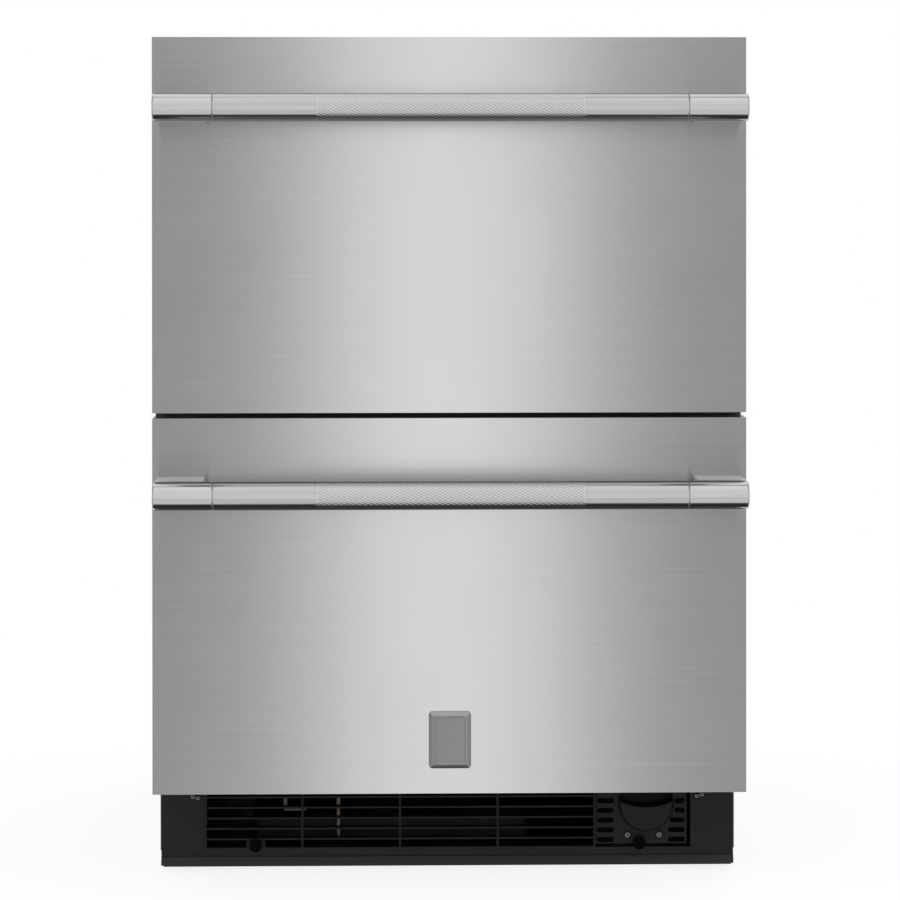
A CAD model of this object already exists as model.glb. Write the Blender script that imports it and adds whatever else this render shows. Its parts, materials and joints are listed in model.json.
import bpy, bmesh, json, math
import numpy as np
from mathutils import Matrix, Vector

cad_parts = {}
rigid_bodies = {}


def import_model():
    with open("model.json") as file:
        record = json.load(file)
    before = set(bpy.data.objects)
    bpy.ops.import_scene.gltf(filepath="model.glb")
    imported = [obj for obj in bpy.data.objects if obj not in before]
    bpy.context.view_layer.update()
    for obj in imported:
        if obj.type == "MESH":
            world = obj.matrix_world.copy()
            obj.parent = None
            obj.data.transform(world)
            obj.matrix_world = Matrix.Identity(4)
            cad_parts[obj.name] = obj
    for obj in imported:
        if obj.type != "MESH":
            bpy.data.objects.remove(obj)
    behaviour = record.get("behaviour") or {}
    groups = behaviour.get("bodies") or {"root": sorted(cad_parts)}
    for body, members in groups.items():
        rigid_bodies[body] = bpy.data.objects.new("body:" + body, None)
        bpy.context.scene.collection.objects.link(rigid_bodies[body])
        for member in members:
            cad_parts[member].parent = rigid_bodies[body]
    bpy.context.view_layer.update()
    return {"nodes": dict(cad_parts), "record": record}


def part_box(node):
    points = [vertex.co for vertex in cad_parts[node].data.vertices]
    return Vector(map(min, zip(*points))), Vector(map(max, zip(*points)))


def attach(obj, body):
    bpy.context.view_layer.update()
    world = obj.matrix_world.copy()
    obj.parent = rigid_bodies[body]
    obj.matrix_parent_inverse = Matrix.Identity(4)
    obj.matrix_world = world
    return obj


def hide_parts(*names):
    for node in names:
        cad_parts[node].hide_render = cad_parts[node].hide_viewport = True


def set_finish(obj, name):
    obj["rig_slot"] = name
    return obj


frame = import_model()
NODES = frame["nodes"]
RECORD = frame["record"]
SLOT = {s["node"]: s["material_slot"] for s in RECORD["subparts"]}
BODY = {n: b for b, ns in RECORD["behaviour"]["bodies"].items() for n in ns}
scene = bpy.context.scene


# ------------------------------------------------------------------ node helpers
class Tree:
    """A small helper that builds shader nodes."""

    def __init__(self, name, world=False):
        self.owner = bpy.data.worlds.new(name) if world else bpy.data.materials.new(name)
        self.owner.use_nodes = True
        self.t = self.owner.node_tree
        self.t.nodes.clear()
        self.links = self.t.links

    def n(self, kind, **settings):
        node = self.t.nodes.new(kind)
        for k, v in settings.items():
            setattr(node, k, v)
        return node

    def put(self, socket, value):
        if value is None:
            return
        if isinstance(value, bpy.types.NodeSocket):
            self.links.new(value, socket)
        elif isinstance(value, (tuple, list)) and len(value) == 3 and socket.type == "RGBA":
            socket.default_value = (*value, 1.0)
        else:
            socket.default_value = value

    def math(self, op, a, b=None, c=None, clamp=False):
        m = self.n("ShaderNodeMath", operation=op, use_clamp=clamp)
        self.put(m.inputs[0], a)
        self.put(m.inputs[1], b)
        self.put(m.inputs[2], c)
        return m.outputs[0]

    def vmath(self, op, a, b=None, scale=None):
        m = self.n("ShaderNodeVectorMath", operation=op)
        self.put(m.inputs[0], a)
        self.put(m.inputs[1], b)
        if scale is not None:
            self.put(m.inputs["Scale"], scale)
        return m.outputs["Value"] if op in ("LENGTH", "DOT_PRODUCT", "DISTANCE") else m.outputs["Vector"]

    def ramp(self, x, a, b, c=0.0, d=1.0, smooth=True):
        m = self.n("ShaderNodeMapRange", interpolation_type="SMOOTHSTEP" if smooth else "LINEAR")
        for i, v in enumerate((x, a, b, c, d)):
            self.put(m.inputs[i], v)
        return m.outputs[0]

    def mix(self, f, a, b):
        m = self.n("ShaderNodeMix", data_type="RGBA")
        self.put(m.inputs[0], f)
        self.put(m.inputs[6], a)
        self.put(m.inputs[7], b)
        return m.outputs[2]

    def coords(self, scale=(1, 1, 1), offset=(0, 0, 0)):
        tc = self.n("ShaderNodeTexCoord")
        mp = self.n("ShaderNodeMapping")
        self.links.new(tc.outputs["Object"], mp.inputs["Vector"])
        mp.inputs["Scale"].default_value = scale
        mp.inputs["Location"].default_value = offset
        return mp.outputs[0]

    def noise(self, scale=(1, 1, 1), detail=3.0, rough=0.55, offset=(0, 0, 0), distortion=0.0):
        m = self.n("ShaderNodeTexNoise")
        self.put(m.inputs["Vector"], self.coords(scale, offset))
        m.inputs["Scale"].default_value = 1.0
        m.inputs["Detail"].default_value = detail
        m.inputs["Roughness"].default_value = rough
        m.inputs["Distortion"].default_value = distortion
        return m.outputs["Fac"]

    def bump(self, height, strength, distance, normal=None):
        m = self.n("ShaderNodeBump")
        m.inputs["Strength"].default_value = strength
        m.inputs["Distance"].default_value = distance
        self.put(m.inputs["Height"], height)
        self.put(m.inputs["Normal"], normal)
        return m.outputs[0]

    def edge(self, radius=0.0012):
        """About 1 on sharp edges and 0 on flats: where a surface is worn."""
        b = self.n("ShaderNodeBevel", samples=4)
        b.inputs["Radius"].default_value = radius
        g = self.n("ShaderNodeNewGeometry")
        d = self.vmath("DOT_PRODUCT", b.outputs[0], g.outputs["True Normal"])
        return self.ramp(d, 0.999, 0.90)

    def out(self, shader):
        o = self.n("ShaderNodeOutputMaterial")
        self.links.new(shader, o.inputs["Surface"])
        return self.owner

    def principled(self, color, rough, metallic=0.0, normal=None, spec=0.5, aniso=None, tangent=None,
                   coat=None, sheen=None, transmission=None, ior=None, emit=None, emit_strength=None, alpha=None):
        p = self.n("ShaderNodeBsdfPrincipled")
        self.put(p.inputs["Base Color"], color)
        self.put(p.inputs["Roughness"], rough)
        p.inputs["Metallic"].default_value = metallic
        self.put(p.inputs["Normal"], normal)
        p.inputs["Specular IOR Level"].default_value = spec
        if aniso is not None:
            self.put(p.inputs["Anisotropic"], aniso)
        self.put(p.inputs["Tangent"], tangent)
        if coat:
            p.inputs["Coat Weight"].default_value, p.inputs["Coat Roughness"].default_value = coat
        if sheen:
            p.inputs["Sheen Weight"].default_value = sheen
        if transmission is not None:
            p.inputs["Transmission Weight"].default_value = transmission
        if ior is not None:
            p.inputs["IOR"].default_value = ior
        if emit is not None:
            self.put(p.inputs["Emission Color"], emit)
            self.put(p.inputs["Emission Strength"], emit_strength)
        if alpha is not None:
            self.put(p.inputs["Alpha"], alpha)
        return p.outputs[0]


def brushed(name, base, rough, aniso, along=(1, 0, 0), grain=1.0, spread=0.05, tone=0.05, edge_light=0.12, deep=None, groove=None, dim=None, cavity=None):
    """Brushed metal. Its scratches run along one direction; the highlight stretches across them."""
    t = Tree(name)
    a = Vector(along)
    long, fine, mid = 9.0, 2600.0, 420.0
    s_fine = tuple(long if abs(c) > 0.5 else fine for c in a)
    s_mid = tuple(2.6 if abs(c) > 0.5 else mid for c in a)
    fine_n = t.noise(s_fine, 2.0, 0.6)
    mid_n = t.noise(s_mid, 3.0, 0.65, (3.1, 1.7, 9.2))
    cloud = t.noise((3.0, 3.0, 2.2), 3.0, 0.5, (0.4, 7.0, 2.0))
    smear = t.noise((11, 11, 7), 4.0, 0.6, (8.0, 1.0, 5.0))
    grain_n = t.math("ADD", t.math("MULTIPLY", fine_n, 0.55), t.math("MULTIPLY", mid_n, 0.45))
    # tone: fine light and dark streaks, and slow clouds
    f = t.math("ADD", t.math("MULTIPLY_ADD", grain_n, 2.0 * tone * grain, 1 - tone * grain),
               t.math("MULTIPLY_ADD", cloud, 0.05, -0.025))
    worn = t.math("MULTIPLY", t.edge(0.0010), edge_light)
    f = t.math("ADD", f, worn)
    g = t.n("ShaderNodeNewGeometry")
    if deep:
        # second bounces between the handle and the front lose their low light
        lp = t.n("ShaderNodeLightPath")
        inc = t.n("ShaderNodeSeparateXYZ")
        t.links.new(g.outputs["Incoming"], inc.inputs[0])
        high = t.ramp(t.math("MULTIPLY", inc.outputs[2], -1.0), 0.66, 0.88, deep, 1.0)
        high = t.math("MAXIMUM", high, t.ramp(lp.outputs["Ray Length"], 0.056, 0.050))
        f = t.math("MULTIPLY", f, t.math("SUBTRACT", 1.0, t.math("MULTIPLY", lp.outputs["Is Glossy Ray"],
                                                                 t.math("SUBTRACT", 1.0, high))))
    if cavity:
        ao = t.n("ShaderNodeAmbientOcclusion", samples=8)
        ao.inputs["Distance"].default_value = cavity
        f = t.math("MULTIPLY", f, t.ramp(ao.outputs["AO"], 0.55, 0.98, 0.25, 1.0))
    if dim:
        lp = t.n("ShaderNodeLightPath")
        f = t.math("MULTIPLY", f, t.math("MULTIPLY_ADD", lp.outputs["Is Glossy Ray"], dim - 1.0, 1.0))
    r = t.math("MULTIPLY_ADD", grain_n, 2 * spread, rough - spread)
    r = t.math("ADD", r, t.math("MULTIPLY_ADD", smear, 0.05, -0.025), clamp=True)
    if groove:
        # cut metal is duller and darker in the bottom of its grooves
        cut = t.n("ShaderNodeAttribute", attribute_name="cut").outputs["Fac"]
        f = t.math("MULTIPLY", f, t.math("SUBTRACT", 1.06, t.math("MULTIPLY", cut, groove)))
        r = t.math("ADD", r, t.math("MULTIPLY", cut, 0.12), clamp=True)
    color = t.vmath("SCALE", tuple(base), scale=f)
    tan = t.vmath("NORMALIZE", t.vmath("CROSS_PRODUCT", g.outputs["Normal"], (a.x + 0.013, a.y + 0.017, a.z + 0.011)))
    nrm = t.bump(grain_n, 0.10 * grain, 0.00006)
    return t.out(t.principled(color, r, 1.0, nrm, aniso=aniso, tangent=tan))


def paint(name, base, rough, peel=0.35, dust=0.05, edge_light=0.25, metallic=0.0, spec=0.5, coat=None, grain=900.0, low=None):
    """Powder coat or baked enamel: an orange-peel skin, slow tone changes, lighter worn edges."""
    t = Tree(name)
    peel_n = t.noise((grain,) * 3, 2.0, 0.5)
    big = t.noise((5, 5, 5), 4.0, 0.55, (4, 2, 9))
    speck = t.noise((2400,) * 3, 1.0, 0.5, (1, 8, 3))
    f = t.math("MULTIPLY_ADD", big, 2 * dust, 1 - dust)
    f = t.math("ADD", f, t.math("MULTIPLY_ADD", speck, 0.16, -0.08))
    f = t.math("ADD", f, t.math("MULTIPLY", t.edge(0.0014), edge_light))
    if low:
        # scuffed paler along the lowest edge, where shoes and mops reach it
        pos = t.n("ShaderNodeSeparateXYZ")
        t.links.new(t.n("ShaderNodeNewGeometry").outputs["Position"], pos.inputs[0])
        f = t.math("MULTIPLY", f, t.ramp(pos.outputs[2], low, low - 0.0006, 1.0, 2.0))
    color = t.vmath("SCALE", tuple(base), scale=f)
    r = t.math("MULTIPLY_ADD", big, 0.14, rough - 0.07)
    r = t.math("ADD", r, t.math("MULTIPLY_ADD", speck, 0.06, -0.03), clamp=True)
    return t.out(t.principled(color, r, metallic, t.bump(peel_n, peel, 0.00009), spec=spec, coat=coat))


def moulded(name, base, rough, texture=0.4, scale=1500.0, spec=0.5, edge_light=0.18, tint=0.06, sheen=None):
    """Moulded plastic: fine spark-eroded texture, flow marks and slightly polished edges."""
    t = Tree(name)
    pit = t.n("ShaderNodeTexVoronoi", feature="SMOOTH_F1")
    t.put(pit.inputs["Vector"], t.coords((scale,) * 3))
    pit.inputs["Scale"].default_value = 1.0
    fine = t.noise((scale * 1.7,) * 3, 2.0, 0.6)
    flow = t.noise((7, 7, 18), 4.0, 0.6, (2, 5, 1), 0.6)
    h = t.math("ADD", t.math("MULTIPLY", pit.outputs["Distance"], 0.7), t.math("MULTIPLY", fine, 0.4))
    e = t.edge(0.0012)
    f = t.math("ADD", t.math("MULTIPLY_ADD", flow, 2 * tint, 1 - tint), t.math("MULTIPLY", e, edge_light))
    f = t.math("ADD", f, t.math("MULTIPLY_ADD", fine, 0.10, -0.05))
    color = t.vmath("SCALE", tuple(base), scale=f)
    r = t.math("ADD", t.math("MULTIPLY_ADD", flow, 0.12, rough - 0.06), t.math("MULTIPLY", e, -0.08), clamp=True)
    return t.out(t.principled(color, r, 0.0, t.bump(h, texture, 0.00007), spec=spec, sheen=sheen))


def zinc(name, base, rough):
    """Zinc-plated or galvanised sheet: spangle and rolling marks."""
    t = Tree(name)
    v = t.n("ShaderNodeTexVoronoi", feature="F1")
    t.put(v.inputs["Vector"], t.coords((95, 95, 95)))
    v.inputs["Scale"].default_value = 1.0
    hsv = t.n("ShaderNodeSeparateColor", mode="HSV")
    t.links.new(v.outputs["Color"], hsv.inputs[0])
    roll = t.noise((3, 260, 3), 3.0, 0.6)
    fine = t.noise((700,) * 3, 2.0, 0.6)
    f = t.math("ADD", t.math("MULTIPLY_ADD", hsv.outputs[2], 0.16, 0.88), t.math("MULTIPLY_ADD", roll, 0.14, -0.07))
    f = t.math("ADD", f, t.math("MULTIPLY", t.edge(0.0010), 0.15))
    color = t.vmath("SCALE", tuple(base), scale=f)
    r = t.math("ADD", t.math("MULTIPLY_ADD", hsv.outputs[2], 0.16, rough - 0.08), t.math("MULTIPLY_ADD", fine, 0.1, -0.05), clamp=True)
    return t.out(t.principled(color, r, 1.0, t.bump(fine, 0.12, 0.00005)))


def soft_rubber(name, base, rough=0.75):
    t = Tree(name)
    fine = t.noise((1400,) * 3, 3.0, 0.6)
    big = t.noise((18, 18, 18), 3.0, 0.6, (3, 3, 1))
    f = t.math("ADD", t.math("MULTIPLY_ADD", big, 0.22, 0.89), t.math("MULTIPLY", t.edge(0.001), 0.25))
    color = t.vmath("SCALE", tuple(base), scale=f)
    r = t.math("MULTIPLY_ADD", big, 0.16, rough - 0.08)
    return t.out(t.principled(color, r, 0.0, t.bump(fine, 0.3, 0.00008), spec=0.35, sheen=0.15))


def copper(name):
    t = Tree(name)
    stain = t.noise((30, 30, 30), 4.0, 0.65, (1, 4, 2))
    fine = t.noise((600,) * 3, 3.0, 0.6)
    color = t.mix(t.ramp(stain, 0.35, 0.7), (0.20, 0.17, 0.15), (0.09, 0.08, 0.07))
    r = t.math("MULTIPLY_ADD", stain, 0.3, 0.16)
    return t.out(t.principled(color, r, 1.0, t.bump(fine, 0.15, 0.00006)))


def glow(name):
    t = Tree(name)
    n = t.noise((160, 20, 20), 2.0, 0.5)
    r = t.math("MULTIPLY_ADD", n, 0.1, 0.3)
    c = t.mix(n, (0.93, 0.95, 0.96), (0.86, 0.89, 0.92))
    return t.out(t.principled(c, r, 0.0, t.bump(n, 0.1, 0.0001), emit=(0.88, 0.94, 1.0), emit_strength=1.6))


def clear_plastic(name):
    t = Tree(name)
    n = t.noise((9, 9, 9), 4.0, 0.6)
    fine = t.noise((900,) * 3, 2.0, 0.6)
    c = t.mix(n, (0.62, 0.68, 0.72), (0.55, 0.61, 0.66))
    r = t.math("MULTIPLY_ADD", n, 0.12, 0.12)
    return t.out(t.principled(c, r, 0.0, t.bump(fine, 0.06, 0.00005), transmission=0.55, ior=1.45, spec=0.5))


def smoked_lens(name):
    t = Tree(name)
    n = t.noise((40, 40, 40), 3.0, 0.6)
    c = t.mix(n, (0.010, 0.014, 0.018), (0.016, 0.020, 0.026))
    r = t.math("MULTIPLY_ADD", n, 0.08, 0.05)
    return t.out(t.principled(c, r, 0.0, t.bump(n, 0.03, 0.0001), coat=(0.8, 0.04)))


MAT = {
    "brushed_front": brushed("mat_brushed_front", (0.655, 0.655, 0.65), 0.18, 0.985, grain=1.0, spread=0.03, tone=0.07, deep=0.5),
    "brushed_front_low": brushed("mat_brushed_front_low", (0.655, 0.655, 0.65), 0.18, 0.985, grain=1.0, spread=0.03, tone=0.07, deep=0.16),
    "handle_steel": brushed("mat_handle_steel", (0.60, 0.60, 0.595), 0.16, 0.35, grain=0.8, spread=0.03, tone=0.03),
    "handle_cap_steel": brushed("mat_handle_cap_steel", (0.66, 0.66, 0.652), 0.14, 0.30, grain=0.6, spread=0.03, tone=0.025),
    "post_steel": brushed("mat_post_steel", (0.72, 0.72, 0.71), 0.44, 0.2, grain=0.9, spread=0.05, tone=0.05, dim=0.5),
    "knurl_steel": brushed("mat_knurl_steel", (0.655, 0.655, 0.65), 0.15, 0.0, grain=0.4, spread=0.03, tone=0.03, groove=0.46),
    "cabinet_steel": paint("mat_cabinet_steel", (0.027, 0.028, 0.031), 0.33, peel=0.34),
    "mullion_steel": paint("mat_mullion_steel", (0.045, 0.046, 0.050), 0.40, peel=0.2),
    "rear_sheet": zinc("mat_rear_sheet", (0.55, 0.56, 0.57), 0.42),
    "liner_plastic": moulded("mat_liner_plastic", (0.075, 0.079, 0.084), 0.42, texture=0.22, scale=1100),
    "insulation": soft_rubber("mat_insulation", (0.80, 0.70, 0.42), 0.85),
    "base_steel": paint("mat_base_steel", (0.0072, 0.0074, 0.0079), 0.42, peel=0.2, spec=0.24, edge_light=0.7, low=0.0150),
    "grille_plastic": moulded("mat_grille_plastic", (0.0065, 0.0066, 0.0070), 0.46, texture=0.2, spec=0.22),
    "screw_steel": brushed("mat_screw_steel", (0.24, 0.24, 0.24), 0.22, 0.0, grain=0.8, tone=0.1, cavity=0.0012),
    "knob_plastic": moulded("mat_knob_plastic", (0.0014, 0.0014, 0.0016), 0.55, texture=0.3, spec=0.03),
    "zinc_steel": zinc("mat_zinc_steel", (0.66, 0.67, 0.69), 0.30),
    "compressor_paint": paint("mat_compressor_paint", (0.014, 0.014, 0.016), 0.24, peel=0.5, coat=(0.4, 0.1)),
    "rubber_parts": soft_rubber("mat_rubber_parts", (0.022, 0.022, 0.022)),
    "condenser_paint": paint("mat_condenser_paint", (0.03, 0.03, 0.032), 0.42),
    "fan_plastic": moulded("mat_fan_plastic", (0.042, 0.043, 0.046), 0.40),
    "motor_metal": zinc("mat_motor_metal", (0.55, 0.56, 0.58), 0.35),
    "pan_plastic": moulded("mat_pan_plastic", (0.012, 0.0125, 0.013), 0.5, spec=0.3),
    "copper": copper("mat_copper"),
    "fin_aluminium": brushed("mat_fin_aluminium", (0.78, 0.80, 0.82), 0.30, 0.3, along=(0, 0, 1)),
    "cover_plastic": moulded("mat_cover_plastic", (0.062, 0.066, 0.071), 0.42, texture=0.25),
    "panel_plastic": moulded("mat_panel_plastic", (0.016, 0.017, 0.019), 0.20, texture=0.05),
    "display_glass": smoked_lens("mat_display_glass"),
    "button_plastic": moulded("mat_button_plastic", (0.15, 0.16, 0.17), 0.38),
    "led_diffuser": glow("mat_led_diffuser"),
    "cord_rubber": soft_rubber("mat_cord_rubber", (0.018, 0.018, 0.018), 0.6),
    "leg_plastic": moulded("mat_leg_plastic", (0.035, 0.035, 0.037), 0.5),
    "gasket_rubber": soft_rubber("mat_gasket_rubber", (0.115, 0.12, 0.125), 0.6),
    "tub_plastic": moulded("mat_tub_plastic", (0.085, 0.090, 0.096), 0.36, texture=0.18, scale=900),
    "divider_plastic": clear_plastic("mat_divider_plastic"),
    "badge_metal": brushed("mat_badge_metal", (0.40, 0.402, 0.408), 0.17, 0.9, along=(0, 0, 1), grain=0.9, tone=0.08, edge_light=0.5, cavity=0.0016),
}


# ------------------------------------------------------------------ mesh helpers
def new_object(name, verts, faces, mat=None, body=None, slot=None, smooth_angle=None):
    me = bpy.data.meshes.new(name)
    me.from_pydata(verts, [], faces)
    me.update()
    me.validate()
    o = bpy.data.objects.new(name, me)
    scene.collection.objects.link(o)
    if mat:
        me.materials.append(MAT[mat])
    if smooth_angle is not None:
        me.shade_smooth()
        me.set_sharp_from_angle(angle=math.radians(smooth_angle))
    if body:
        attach(o, body)
    if slot:
        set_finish(o, slot)
    return o


def from_bmesh(name, bm, mat, body, slot, smooth_angle=35):
    me = bpy.data.meshes.new(name)
    bm.to_mesh(me)
    bm.free()
    o = bpy.data.objects.new(name, me)
    scene.collection.objects.link(o)
    me.materials.append(MAT[mat])
    me.shade_smooth()
    me.set_sharp_from_angle(angle=math.radians(smooth_angle))
    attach(o, body)
    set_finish(o, slot)
    return o


def bevel(o, width, segments=3, angle=32):
    m = o.modifiers.new("soft_edges", "BEVEL")
    m.width = width
    m.segments = segments
    m.limit_method = "ANGLE"
    m.angle_limit = math.radians(angle)
    m.harden_normals = True
    m.miter_outer = "MITER_ARC"
    return o


def refine(node, name=None, width=0.0006, segments=2, mat=None, angle=32, flat=0.6):
    """The CAD node's own shape, with clean faces, shaded and with broken edges. It stands for the node."""
    src = NODES[node]
    bm = bmesh.new()
    bm.from_mesh(src.data)
    bmesh.ops.remove_doubles(bm, verts=bm.verts, dist=2e-6)
    bmesh.ops.dissolve_limit(bm, angle_limit=math.radians(flat), verts=bm.verts, edges=bm.edges,
                             delimit={"NORMAL"})
    bmesh.ops.recalc_face_normals(bm, faces=bm.faces)
    o = from_bmesh(name or node + "_finished", bm, mat or SLOT[node], BODY[node], SLOT[node])
    if width:
        bevel(o, width, segments, angle)
    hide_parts(node)
    return o


def keep(node, mat=None):
    """A CAD node shown as it is, with its finished material."""
    o = NODES[node]
    o.data.materials.clear()
    o.data.materials.append(MAT[mat or SLOT[node]])
    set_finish(o, SLOT[node])
    return o


def lathe_x(profile, seg=96, centre=(0, 0, 0)):
    """Turns a list of (x, r) about the X axis. A point with r 0 closes the end."""
    verts, faces, rings = [], [], []
    cx, cy, cz = centre
    for x, r in profile:
        if r < 1e-9:
            rings.append([len(verts)])
            verts.append((cx + x, cy, cz))
        else:
            rings.append(list(range(len(verts), len(verts) + seg)))
            for i in range(seg):
                a = 2 * math.pi * i / seg
                verts.append((cx + x, cy + r * math.cos(a), cz + r * math.sin(a)))
    for a, b in zip(rings, rings[1:]):
        if len(a) == 1 and len(b) == 1:
            continue
        for i in range(seg):
            j = (i + 1) % seg
            if len(a) == 1:
                faces.append((a[0], b[i], b[j]))
            elif len(b) == 1:
                faces.append((a[i], b[0], a[j]))
            else:
                faces.append((a[i], b[i], b[j], a[j]))
    return verts, faces


def fix(o):
    bm = bmesh.new()
    bm.from_mesh(o.data)
    bmesh.ops.recalc_face_normals(bm, faces=bm.faces)
    bm.to_mesh(o.data)
    bm.free()
    return o


def soft_box(name, lo, hi, mat, body, slot, r=0.001, seg=3):
    bm = bmesh.new()
    bmesh.ops.create_cube(bm, size=1.0)
    lo, hi = Vector(lo), Vector(hi)
    for v in bm.verts:
        v.co = Vector([(lo[i] + hi[i]) / 2 + v.co[i] * (hi[i] - lo[i]) for i in range(3)])
    bmesh.ops.bevel(bm, geom=bm.edges[:], offset=r, segments=seg, profile=0.5, affect="EDGES")
    return from_bmesh(name, bm, mat, body, slot, 30)


# ------------------------------------------------------------------ handles
def box_mid(node):
    lo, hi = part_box(node)
    return (lo + hi) / 2


def knurled(name, cx, y, z, half, r, body, slot):
    """A grip turned with one deep helical family of grooves and a lighter crossing one."""
    seg, steps = 168, 440
    depth, lead = 0.00030, 0.5
    starts = 30
    circ = 2 * math.pi * r
    pitch = circ / starts
    margin = 0.0022
    verts, faces, cut = [], [], []
    xs = np.linspace(-half, half, steps + 1)
    for x in xs:
        edge = min(1.0, max(0.0, (half - abs(x)) / margin))
        fade = edge * edge * (3 - 2 * edge)
        for i in range(seg):
            a = 2 * math.pi * i / seg
            s = a * r
            p1 = ((lead * x + s) / pitch) % 1.0
            p2 = ((-lead * x + s) / pitch) % 1.0
            v1 = 1 - abs(2 * p1 - 1)
            v2 = 1 - abs(2 * p2 - 1)
            g1 = max(0.0, 1 - v1 * 2.1)
            g2 = max(0.0, 1 - v2 * 3.2)
            g = fade * max(g1, 0.35 * g2)
            cut.append(g)
            rr = r - depth * g - 0.00010 * (1 - fade)
            verts.append((cx + x, y - rr * math.cos(a), z + rr * math.sin(a)))
    for k in range(steps):
        for i in range(seg):
            j = (i + 1) % seg
            faces.append((k * seg + i, k * seg + j, (k + 1) * seg + j, (k + 1) * seg + i))
    c0 = len(verts)
    verts += [(cx - half, y, z), (cx + half, y, z)]
    for i in range(seg):
        j = (i + 1) % seg
        faces.append((c0, j, i))
        faces.append((c0 + 1, steps * seg + i, steps * seg + j))
    o = new_object(name, verts, faces, "knurl_steel", body, slot, 60)
    a = o.data.attributes.new("cut", "FLOAT", "POINT")
    a.data.foreach_set("value", cut + [0.0, 0.0])
    return o


def handle(which):
    bar, ends = which + "_handle_bar", which + "_handle_ends"
    body = BODY[bar]
    lo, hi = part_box(bar)
    y, z = (lo.y + hi.y) / 2, (lo.z + hi.z) / 2
    r = (hi.z - lo.z) / 2
    half = hi.x
    elo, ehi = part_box(ends)
    tip = ehi.x
    face = ehi.y
    grip = 0.134
    made = []
    for s, tag in ((-1, "left"), (1, "right")):
        # smooth length of the tube
        prof = [(grip + 0.00002, 0), (grip + 0.00002, r - 0.00025), (grip + 0.00020, r - 0.00005),
                (grip + 0.0004, r), (grip + 0.0006, r), (grip + 0.0008, r), (half - 0.0012, r), (half - 0.0010, r), (half - 0.0008, r),
                (half - 0.0002, r - 0.0003), (half, r - 0.0009), (half, 0)]
        v, f = lathe_x([(s * x, q) for x, q in prof], 128, (0, y, z))
        o = fix(new_object(f"{which}_handle_tube_{tag}", v, f, "handle_steel", body, "handle_steel", 40))
        made.append(o)
        # end piece: turned outside, with a soft rim
        e0 = half + 0.0004
        prof = [(e0 - 0.002, 0), (e0 - 0.002, r - 0.0024), (e0, r - 0.0022), (e0, r - 0.0009), (e0 + 0.0002, r - 0.0003),
                (e0 + 0.0008, r), (e0 + 0.0010, r), (e0 + 0.0012, r), (tip - 0.0022, r), (tip - 0.0020, r),
                (tip - 0.0017, r), (tip - 0.0008, r - 0.00022), (tip - 0.0002, r - 0.0008),
                (tip, r - 0.0017), (tip, r - 0.006), (tip, 0)]
        v, f = lathe_x([(s * x, q) for x, q in prof], 128, (0, y, z))
        cap = fix(new_object(f"{which}_handle_cap_{tag}", v, f, "handle_cap_steel", body, "handle_cap_steel", 40))
        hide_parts(ends)
        # square post behind the end piece
        w = 0.0488
        xa, xb = sorted((s * (tip - w), s * (tip - 0.0004)))
        soft_box(f"{which}_handle_post_{tag}", (xa, y + 0.001, z - r + 0.0002), (xb, face, z + r - 0.0002),
                 "post_steel", body, "handle_cap_steel", 0.0009, 3)
    g = knurled(f"{which}_handle_grip", 0, y, z, grip, r, body, "handle_steel")
    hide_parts(bar)


handle("upper")
handle("lower")

# ------------------------------------------------------------------ screws and finger knobs
def cross_screw(name, x, z, y_seat, r, h, turn, node):
    """A pan-head screw with a cross recess, its head towards -Y."""
    rings, seg = 22, 72
    verts, faces = [(0.0, 0.0, 0.0)], []
    ca, sa = math.cos(turn), math.sin(turn)

    def height(u, v):
        q = math.hypot(u, v) / r
        dome = h * (0.45 + 0.55 * math.sqrt(max(0.0, 1 - q ** 3.2)))
        a, b = abs(u * ca + v * sa), abs(-u * sa + v * ca)
        w, reach = 0.13 * r, 0.62 * r
        arm = max(0.0, min(1.0, (w - min(a, b)) / (0.05 * r) + 0.5)) * max(0.0, min(1.0, (reach - max(a, b)) / (0.10 * r)))
        return dome - 0.62 * h * arm
    verts[0] = (x, y_seat - height(0, 0), z)
    for k in range(1, rings + 1):
        q = r * k / rings
        for i in range(seg):
            t = 2 * math.pi * i / seg
            u, v = q * math.cos(t), q * math.sin(t)
            verts.append((x + u, y_seat - height(u, v), z + v))
    for i in range(seg):
        t = 2 * math.pi * i / seg
        verts.append((x + r * math.cos(t), y_seat + 0.0004, z + r * math.sin(t)))
    for i in range(seg):
        j = (i + 1) % seg
        faces.append((0, 1 + i, 1 + j))
        for k in range(rings):
            faces.append((1 + k * seg + i, 1 + (k + 1) * seg + i, 1 + (k + 1) * seg + j, 1 + k * seg + j))
    faces.append(tuple(1 + rings * seg + i for i in range(seg)))
    o = fix(new_object(name, verts, faces, SLOT[node], BODY[node], SLOT[node], 45))
    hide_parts(node)
    return o


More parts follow.
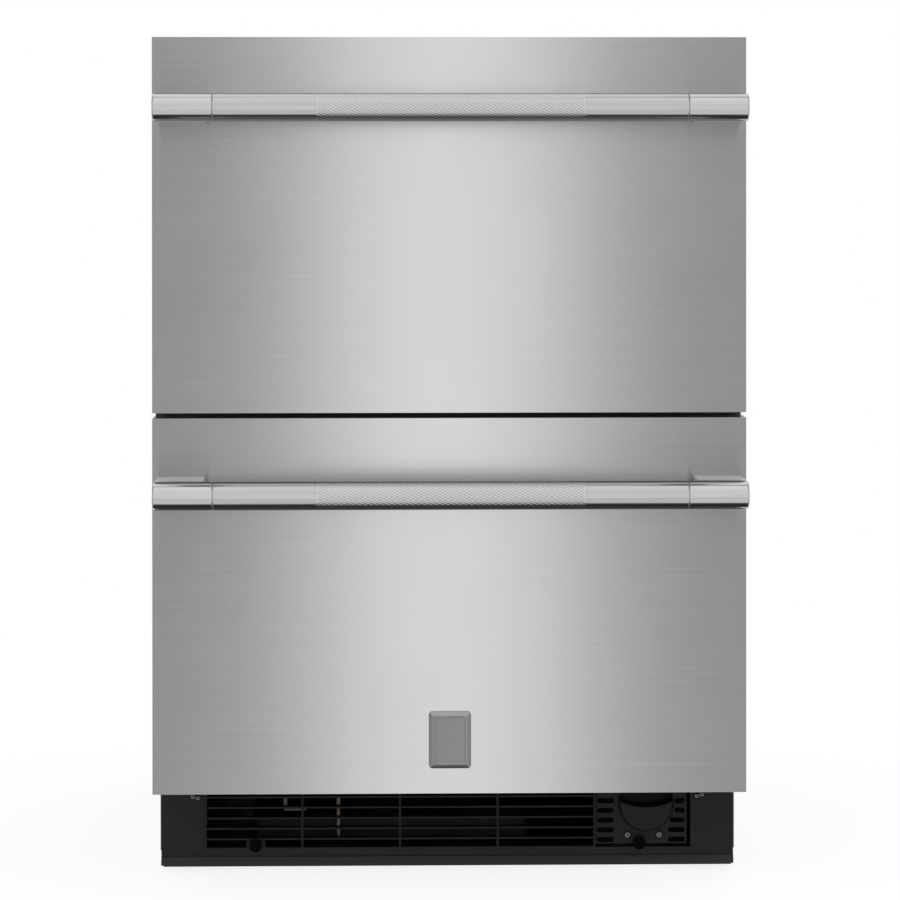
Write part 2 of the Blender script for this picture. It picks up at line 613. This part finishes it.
def ridged_knob(name, x, z, y_seat, node):
    """A moulded thumb knob: a collar, a ridged grip and a dished face."""
    seg, ribs = 144, 16
    prof = [(0.0, 0.0, 0), (0.0, 0.0050, 0), (0.0016, 0.0050, 0), (0.0020, 0.0052, 0), (0.0021, 0.0060, 0.6),
            (0.0025, 0.0067, 1), (0.0053, 0.0067, 1), (0.0058, 0.0062, 0.5), (0.0060, 0.0055, 0), (0.0060, 0.0046, 0),
            (0.0057, 0.0040, 0), (0.0052, 0.0020, 0), (0.0051, 0.0, 0)]
    verts, faces, rings = [], [], []
    for d, r, rib in prof:
        if r == 0:
            rings.append([len(verts)])
            verts.append((x, y_seat - d, z))
            continue
        rings.append(list(range(len(verts), len(verts) + seg)))
        for i in range(seg):
            t = 2 * math.pi * i / seg
            rr = r - rib * 0.00045 * (0.5 - 0.5 * math.cos(ribs * t)) ** 2
            verts.append((x + rr * math.cos(t), y_seat - d, z + rr * math.sin(t)))
    for a, b in zip(rings, rings[1:]):
        for i in range(seg):
            j = (i + 1) % seg
            if len(a) == 1:
                faces.append((a[0], b[i], b[j]))
            elif len(b) == 1:
                faces.append((a[i], b[0], a[j]))
            else:
                faces.append((a[i], b[i], b[j], a[j]))
    o = fix(new_object(name, verts, faces, SLOT[node], BODY[node], SLOT[node], 40))
    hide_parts(node)
    return o


def fasteners():
    y0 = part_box("toe_kick_frame")[0].y + 0.0015
    spots = [(0.1894, 0.0367, 0.0030, 0.0018, 0.5), (0.2226, 0.0367, 0.0030, 0.0018, 1.3)]
    for s, t in ((-1, 0.3), (1, 0.9)):
        spots += [(s * 0.2678, 0.0790, 0.0025, 0.0019, t), (s * 0.2626, 0.0776, 0.0025, 0.0019, t + 0.7)]
    for i, (x, z, r, h, t) in enumerate(spots):
        cross_screw(f"base_screw_{i + 1}", x, z, y0, r, h, t, "base_screws")
    for i, (x, z) in enumerate(((-0.202, 0.0276), (0.2015, 0.0285))):
        ridged_knob(f"grille_thumbscrew_{i + 1}", x, z, y0, "grille_thumbscrews")


# ------------------------------------------------------------------ sheet metal, mouldings, castings
for w in ("upper", "lower"):
    refine(w + "_front_skin", width=0.0013, segments=4, mat="brushed_front" if w == "upper" else "brushed_front_low")
    refine(w + "_front_liner", width=0.0008)
    refine(w + "_gasket", width=0.0008)
    keep(w + "_tub")
    keep(w + "_front_foam")
    keep(w + "_handle_screws")
    refine(w + "_slide_inner", width=0.0003)
    refine(w + "_slide_middle", width=0.0003)
refine("upper_divider", width=0.0006)
refine("lower_badge", width=0.0005, segments=3)
refine("cabinet_wrapper", width=0.0004)
refine("rear_panel", width=0.0003)
refine("inner_liner", width=0.0008)
refine("center_mullion", width=0.0006, mat="mullion_steel")
refine("countertop_brackets", width=0.0003)
refine("base_pan", width=0.0004)
refine("toe_kick_frame", width=0.0007, segments=3)
keep("base_grille")
refine("access_cover", width=0.0006, segments=3)
fasteners()
refine("control_panel", width=0.0008)
refine("led_light_bar", width=0.0008)
refine("evaporator_cover", width=0.0006)
refine("compressor", width=0.0010)
for n in ("power_button", "warmer_button", "cooler_button"):
    refine(n, width=0.0003)
for n in ("leg_front_left", "leg_front_right", "leg_rear_left", "leg_rear_right"):
    refine(n, width=0.0003)
for n in NODES:
    if not NODES[n].hide_render and not NODES[n].get("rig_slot"):
        keep(n)

# ------------------------------------------------------------------ studio
def studio():
    # floor, and white all round it
    bm = bmesh.new()
    bmesh.ops.create_grid(bm, x_segments=2, y_segments=2, size=14.0)
    me = bpy.data.meshes.new("studio_floor")
    bm.to_mesh(me)
    bm.free()
    floor = bpy.data.objects.new("studio_floor", me)
    scene.collection.objects.link(floor)
    floor.location = (0, 0, -0.0002)
    t = Tree("mat_studio_floor")
    g = t.n("ShaderNodeNewGeometry")
    d = t.vmath("LENGTH", g.outputs["Position"])
    n = t.noise((2, 2, 2), 2.0)
    dif = t.n("ShaderNodeBsdfDiffuse")
    t.put(dif.inputs["Color"], t.mix(n, (0.90, 0.90, 0.90), (0.88, 0.88, 0.88)))
    em = t.n("ShaderNodeEmission")
    em.inputs["Color"].default_value = (1, 1, 1, 1)
    em.inputs["Strength"].default_value = 1.0
    mx = t.n("ShaderNodeMixShader")
    t.links.new(t.ramp(d, 0.45, 1.6, 0.86, 1.0), mx.inputs[0])
    t.links.new(dif.outputs[0], mx.inputs[1])
    t.links.new(em.outputs[0], mx.inputs[2])
    me.materials.append(t.out(mx.outputs[0]))
    floor.visible_glossy = False
    floor.visible_shadow = False

    w = Tree("studio_world", world=True)
    tc = w.n("ShaderNodeTexCoord")
    sp = w.n("ShaderNodeSeparateXYZ")
    w.links.new(tc.outputs["Generated"], sp.inputs[0])
    x, y, z = sp.outputs
    az = w.math("MULTIPLY", w.math("ARCTAN2", x, w.math("MULTIPLY", y, -1.0)), 180 / math.pi)
    el = w.math("MULTIPLY", w.math("ARCSINE", z), 180 / math.pi)
    # a narrow tall soft box behind the camera, wide ones to the sides, a bright room above, a dark floor
    q = w.math("ABSOLUTE", w.math("DIVIDE", w.math("SUBTRACT", az, 1.2), 3.0))
    hump = w.math("EXPONENT", w.math("MULTIPLY", w.math("POWER", q, 2.5), -1.0))
    side = w.math("MAXIMUM", w.math("MULTIPLY", w.ramp(az, -16, -30), w.ramp(az, -58, -38)),
                  w.math("MULTIPLY", w.ramp(az, 18, 32), w.ramp(az, 62, 42)))
    side = w.math("MAXIMUM", side, w.math("MULTIPLY", w.ramp(w.math("ABSOLUTE", az), 84, 104, 0.0, 0.8),
                                          w.ramp(w.math("ABSOLUTE", az), 160, 128)))
    inner = w.math("ADD", 0.32, w.math("MULTIPLY", hump, 0.815))
    inner = w.math("ADD", inner, w.math("MULTIPLY", side, 0.56))
    win = w.math("MULTIPLY", w.ramp(el, 17, 8), w.ramp(el, -26, -16))
    outer = w.math("ADD", w.ramp(el, -10, 10, 0.74, 0.84), w.ramp(el, 30, 75, 0.0, 0.12))
    turn = w.math("ABSOLUTE", az)
    shade = w.math("MULTIPLY", w.ramp(turn, 41, 57), w.ramp(turn, 150, 120))
    outer = w.math("MULTIPLY", outer, w.math("SUBTRACT", 1.0, w.math("MULTIPLY", shade, 0.52)))
    level = w.math("ADD", w.math("MULTIPLY", inner, win), w.math("MULTIPLY", outer, w.math("SUBTRACT", 1.0, win)))
    dark = w.ramp(el, -58, -67)
    level = w.math("MULTIPLY", level, w.math("SUBTRACT", 1.0, w.math("MULTIPLY", dark, 0.96)))
    lp = w.n("ShaderNodeLightPath")
    glossy = w.math("MINIMUM", lp.outputs["Is Glossy Ray"], 1.0)
    strength = w.math("ADD", w.math("MULTIPLY", level, glossy),
                      w.math("MULTIPLY", w.math("SUBTRACT", 1.0, glossy), 1.0))
    bg = w.n("ShaderNodeBackground")
    bg.inputs["Color"].default_value = (1, 1, 1, 1)
    w.links.new(strength, bg.inputs["Strength"])
    o = w.n("ShaderNodeOutputWorld")
    w.links.new(bg.outputs[0], o.inputs["Surface"])
    scene.world = w.owner

    def area(name, loc, target, size, power, glossy=False):
        ld = bpy.data.lights.new(name, "AREA")
        ld.shape = "RECTANGLE"
        ld.size, ld.size_y = size
        ld.energy = power
        ob = bpy.data.objects.new(name, ld)
        scene.collection.objects.link(ob)
        ob.location = loc
        ob.rotation_euler = (Vector(target) - Vector(loc)).to_track_quat("-Z", "Y").to_euler()
        ob.visible_glossy = glossy
        ob.visible_camera = False
        return ob

    area("key_light", (-1.6, -2.6, 2.3), (0, 0, 0.45), (1.6, 1.6), 28)
    area("fill_light", (2.2, -1.8, 1.7), (0, 0, 0.45), (1.6, 1.6), 16)
    area("back_light", (0.8, 2.4, 2.4), (0, 0, 0.5), (1.8, 1.2), 26)


studio()


def handle_fill():
    """A soft panel that lights the handles only, so that the tubes keep an even tone."""
    ld = bpy.data.lights.new("handle_fill", "AREA")
    ld.shape = "RECTANGLE"
    ld.size, ld.size_y = 7.0, 5.2
    ld.energy = math.pi * 7.0 * 5.2
    ld.use_nodes = True
    t = ld.node_tree
    t.nodes.clear()
    w = Tree.__new__(Tree)
    w.t, w.links = t, t.links
    g = w.n("ShaderNodeNewGeometry")
    sp = w.n("ShaderNodeSeparateXYZ")
    w.links.new(g.outputs["Position"], sp.inputs[0])
    x, y, z = sp.outputs
    az = w.math("MULTIPLY", w.math("ARCTAN2", x, w.math("MULTIPLY", y, -1.0)), 180 / math.pi)
    el = w.math("MULTIPLY", w.math("ARCTAN2", w.math("SUBTRACT", z, 0.6), w.math("MULTIPLY", y, -1.0)), 180 / math.pi)
    q = w.math("ABSOLUTE", w.math("DIVIDE", w.math("SUBTRACT", az, 1.2), 3.0))
    hump = w.math("EXPONENT", w.math("MULTIPLY", w.math("POWER", q, 2.5), -1.0))
    need = w.math("MAXIMUM", w.math("SUBTRACT", 0.45, w.math("MULTIPLY", hump, 0.84)), 0.0)
    win = w.math("MULTIPLY", w.ramp(el, 16, 9), w.ramp(el, -25, -17))
    side = w.ramp(w.math("ABSOLUTE", az), 20, 13)
    em = w.n("ShaderNodeEmission")
    w.links.new(w.math("MULTIPLY", w.math("MULTIPLY", need, win), side), em.inputs["Strength"])
    o = w.n("ShaderNodeOutputLight")
    w.links.new(em.outputs[0], o.inputs["Surface"])
    ob = bpy.data.objects.new("handle_fill", ld)
    scene.collection.objects.link(ob)
    ob.location = (0.0, -9.0, 0.0)
    ob.rotation_euler = (math.radians(90), 0, 0)
    ob.visible_camera = False
    only = bpy.data.collections.new("handles_only")
    for h in scene.objects:
        if "_handle_tube_" in h.name or "_handle_cap_" in h.name or "_handle_grip" in h.name:
            only.objects.link(h)
    ob.light_linking.receiver_collection = only


handle_fill()

# ------------------------------------------------------------------ camera
CAM = Vector((-0.0648, -3.1841, 0.7297))
YAW, PITCH, ROLL = math.radians(-1.107), math.radians(-0.236), math.radians(0.03)
SHIFT_X, SHIFT_Y = 0.0096, -0.29007
cam_data = bpy.data.cameras.new("camera")
cam = bpy.data.objects.new("camera", cam_data)
scene.collection.objects.link(cam)
scene.camera = cam
cam_data.sensor_width = 36.0
cam_data.lens = 114.92
cam_data.clip_start, cam_data.clip_end = 0.05, 100.0
cam.location = CAM
rot = Matrix.Rotation(YAW, 3, "Z") @ Matrix.Rotation(PITCH, 3, "X") @ Matrix.Rotation(ROLL, 3, "Y") @ Matrix.Rotation(math.pi / 2, 3, "X")
cam.rotation_mode = "QUATERNION"
cam.rotation_quaternion = rot.to_quaternion()
# the lens is shifted, as on a view camera, only while the camera stands at this place
for prop, value in (("shift_x", SHIFT_X), ("shift_y", SHIFT_Y)):
    d = cam_data.driver_add(prop).driver
    d.type = "SCRIPTED"
    for axis in "XYZ":
        v = d.variables.new()
        v.name = "p" + axis.lower()
        v.type = "TRANSFORMS"
        v.targets[0].id = cam
        v.targets[0].transform_type = "LOC_" + axis
        v.targets[0].transform_space = "WORLD_SPACE"
    d.expression = (f"{value} if (px-({CAM.x:.4f}))**2+(py-({CAM.y:.4f}))**2+(pz-({CAM.z:.4f}))**2 < 0.0004 else 0.0")

scene.view_settings.view_transform = "Standard"
scene.view_settings.look = "None"
